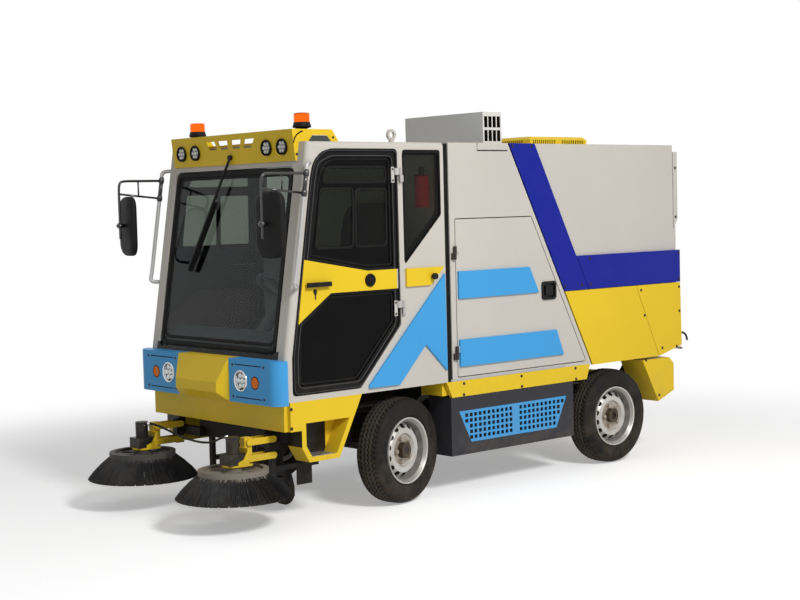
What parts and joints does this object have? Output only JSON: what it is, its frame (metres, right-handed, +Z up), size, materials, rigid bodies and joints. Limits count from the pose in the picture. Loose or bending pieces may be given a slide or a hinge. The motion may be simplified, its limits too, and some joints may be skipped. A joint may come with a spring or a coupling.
{
  "type": "suction sweeper",
  "caption": "Compact four-wheel suction street sweeper with a glazed cab, front side brushes, engine bay doors and a tipping hopper with a top-hung tailgate.",
  "frame": {"origin": "centre of the plan of the whole object, on the ground", "axes": "+X forward along the length, +Y to the driver's left, +Z up"},
  "size_m": [4.04, 1.6536, 2.2959],
  "materials": {
    "black_frame": "satin black paint",
    "cab_grey": "gloss warm light grey paint",
    "tinted_glass": "dark tint",
    "black_rubber": "matte",
    "sky_blue": "gloss paint",
    "royal_blue": "gloss paint",
    "yellow": "gloss paint",
    "lamp_lens": "clear and coloured lenses",
    "black_plastic": "grained",
    "dark_plastic": "grained",
    "seat_fabric": "woven",
    "red": "gloss paint",
    "cast_iron": "painted casting",
    "charcoal": "satin paint",
    "chrome": "polished",
    "bristle": "bristles on a ring",
    "tyre": "road tyre",
    "rim_silver": "silver paint"
  },
  "bodies": {
    "chassis": {"frame_rails": "black_frame", "cab_floor": "cab_grey", "cab_side_left": "cab_grey", "cab_side_right": "cab_grey", "cab_front": "cab_grey", "cab_roof": "cab_grey", "cab_glass": "tinted_glass", "cab_seal": "black_rubber", "front_band": "sky_blue", "front_panel": "yellow", "side_steps": "yellow", "lamps": "lamp_lens", "light_bar": "yellow", "wiper": "black_plastic", "mirrors": "black_plastic", "driver_seat": "seat_fabric", "dashboard": "dark_plastic", "extinguisher": "red", "bay_shell": "cab_grey", "engine_block": "cast_iron", "roof_duct": "cab_grey", "side_skirts": "yellow", "skirt_boxes": "charcoal", "mesh_panels": "sky_blue", "rear_bumper": "yellow", "front_axle": "black_frame", "rear_axle": "black_frame", "suction_nozzle": "charcoal", "suction_hose": "black_rubber", "brush_arms": "black_frame"},
    "nozzle_roller": {"nozzle_wheels": "black_rubber"},
    "door_left": {"door_left": "black_frame", "door_glass_left": "tinted_glass"},
    "door_right": {"door_right": "black_frame", "door_glass_right": "tinted_glass"},
    "bay_door_left": {"bay_door_left": "cab_grey"},
    "bay_door_right": {"bay_door_right": "cab_grey"},
    "hopper": {"hopper_shell": "cab_grey", "hopper_bands": "royal_blue", "hopper_panels": "yellow", "roof_cover": "yellow"},
    "tailgate": {"tailgate": "cab_grey"},
    "tip_barrel": {"tip_barrels": "black_frame"},
    "tip_rod": {"tip_rods": "chrome"},
    "knuckle_left": {"knuckle_left": "black_frame"},
    "knuckle_right": {"knuckle_right": "black_frame"},
    "upper_link": {"upper_links": "yellow"},
    "lower_link": {"lower_links": "yellow"},
    "brush_head": {"brush_heads": "yellow"},
    "brush_left": {"brush_left": "bristle"},
    "brush_right": {"brush_right": "bristle"},
    "wheel_front_left": {"tyre_front_left": "tyre", "rim_front_left": "rim_silver"},
    "wheel_front_right": {"tyre_front_right": "tyre", "rim_front_right": "rim_silver"},
    "wheel_rear_left": {"tyre_rear_left": "tyre", "rim_rear_left": "rim_silver"},
    "wheel_rear_right": {"tyre_rear_right": "tyre", "rim_rear_right": "rim_silver"}
  },
  "joints": [
    {"name": "door_left_hinge", "type": "hinge", "parent": "chassis", "child": "door_left", "pos_m": [0.628, 0.695, 1.5], "axis": [0, 0, 1], "range_deg": [0, 90]},
    {"name": "door_right_hinge", "type": "hinge", "parent": "chassis", "child": "door_right", "pos_m": [0.628, -0.695, 1.5], "axis": [0, 0, -1], "range_deg": [0, 90]},
    {"name": "bay_door_left_hinge", "type": "hinge", "parent": "chassis", "child": "bay_door_left", "pos_m": [0.212, 0.695, 1.1], "axis": [0, 0, -1], "range_deg": [0, 90]},
    {"name": "bay_door_right_hinge", "type": "hinge", "parent": "chassis", "child": "bay_door_right", "pos_m": [0.212, -0.695, 1.1], "axis": [0, 0, 1], "range_deg": [0, 90]},
    {"name": "hopper_tip", "type": "hinge", "parent": "chassis", "child": "hopper", "pos_m": [-1.895, 0, 0.655], "axis": [0, -1, 0], "range_deg": [0, 45]},
    {"name": "tailgate_hinge", "type": "hinge", "parent": "hopper", "child": "tailgate", "pos_m": [-1.906, 0, 2.086], "axis": [0, 1, 0], "range_deg": [0, 85]},
    {"name": "tip_barrel_swing", "type": "hinge", "parent": "chassis", "child": "tip_barrel", "pos_m": [-0.86, 0, 0.45], "axis": [0, 1, 0], "range_deg": [0, 12.5]},
    {"name": "tip_rod_slide", "type": "slide", "parent": "tip_barrel", "child": "tip_rod", "axis": [-0.9717, 0, 0.2364], "range_m": [0, 0.14]},
    {"name": "steer_left", "type": "hinge", "parent": "chassis", "child": "knuckle_left", "pos_m": [0.627, 0.553, 0.311], "axis": [0, 0, 1], "range_deg": [-44, 20]},
    {"name": "steer_right", "type": "hinge", "parent": "chassis", "child": "knuckle_right", "pos_m": [0.627, -0.553, 0.311], "axis": [0, 0, 1], "range_deg": [-44, 20]},
    {"name": "spin_front_left", "type": "hinge", "parent": "knuckle_left", "child": "wheel_front_left", "pos_m": [0.61764, 0.59702, 0.311], "axis": [-0.2079, 0.9781, 0], "continuous": true},
    {"name": "spin_front_right", "type": "hinge", "parent": "knuckle_right", "child": "wheel_front_right", "pos_m": [0.63636, -0.59702, 0.311], "axis": [-0.2079, 0.9781, 0], "continuous": true},
    {"name": "spin_rear_left", "type": "hinge", "parent": "chassis", "child": "wheel_rear_left", "pos_m": [-1.233, 0.598, 0.311], "axis": [0, 1, 0], "continuous": true},
    {"name": "spin_rear_right", "type": "hinge", "parent": "chassis", "child": "wheel_rear_right", "pos_m": [-1.233, -0.598, 0.311], "axis": [0, 1, 0], "continuous": true},
    {"name": "brush_lift", "type": "hinge", "parent": "chassis", "child": "upper_link", "pos_m": [1.445, 0, 0.465], "axis": [0, 1, 0], "range_deg": [-12, 65]},
    {"name": "lower_link_swing", "type": "hinge", "parent": "chassis", "child": "lower_link", "pos_m": [1.445, 0, 0.375], "axis": [0, 1, 0], "range_deg": [-12, 65]},
    {"name": "brush_head_level", "type": "hinge", "parent": "upper_link", "child": "brush_head", "pos_m": [1.61, 0, 0.465], "axis": [0, 1, 0], "range_deg": [-65, 12]},
    {"name": "brush_left_spin", "type": "hinge", "parent": "brush_head", "child": "brush_left", "pos_m": [1.699, 0.466, 0.3], "axis": [0, 0, 1], "continuous": true},
    {"name": "brush_right_spin", "type": "hinge", "parent": "brush_head", "child": "brush_right", "pos_m": [1.699, -0.466, 0.3], "axis": [0, 0, -1], "continuous": true},
    {"name": "nozzle_roll", "type": "hinge", "parent": "chassis", "child": "nozzle_roller", "pos_m": [1.22, 0, 0.095], "axis": [0, 1, 0], "continuous": true}
  ],
  "couplings": [
    {"joint": "steer_right", "follows": "steer_left", "ratio": 1},
    {"joint": "tip_barrel_swing", "follows": "hopper_tip", "ratio": 0.27577},
    {"joint": "tip_rod_slide", "follows": "hopper_tip", "m_per_rad": 0.17673},
    {"joint": "lower_link_swing", "follows": "brush_lift", "ratio": 1},
    {"joint": "brush_head_level", "follows": "brush_lift", "ratio": -1}
  ]
}
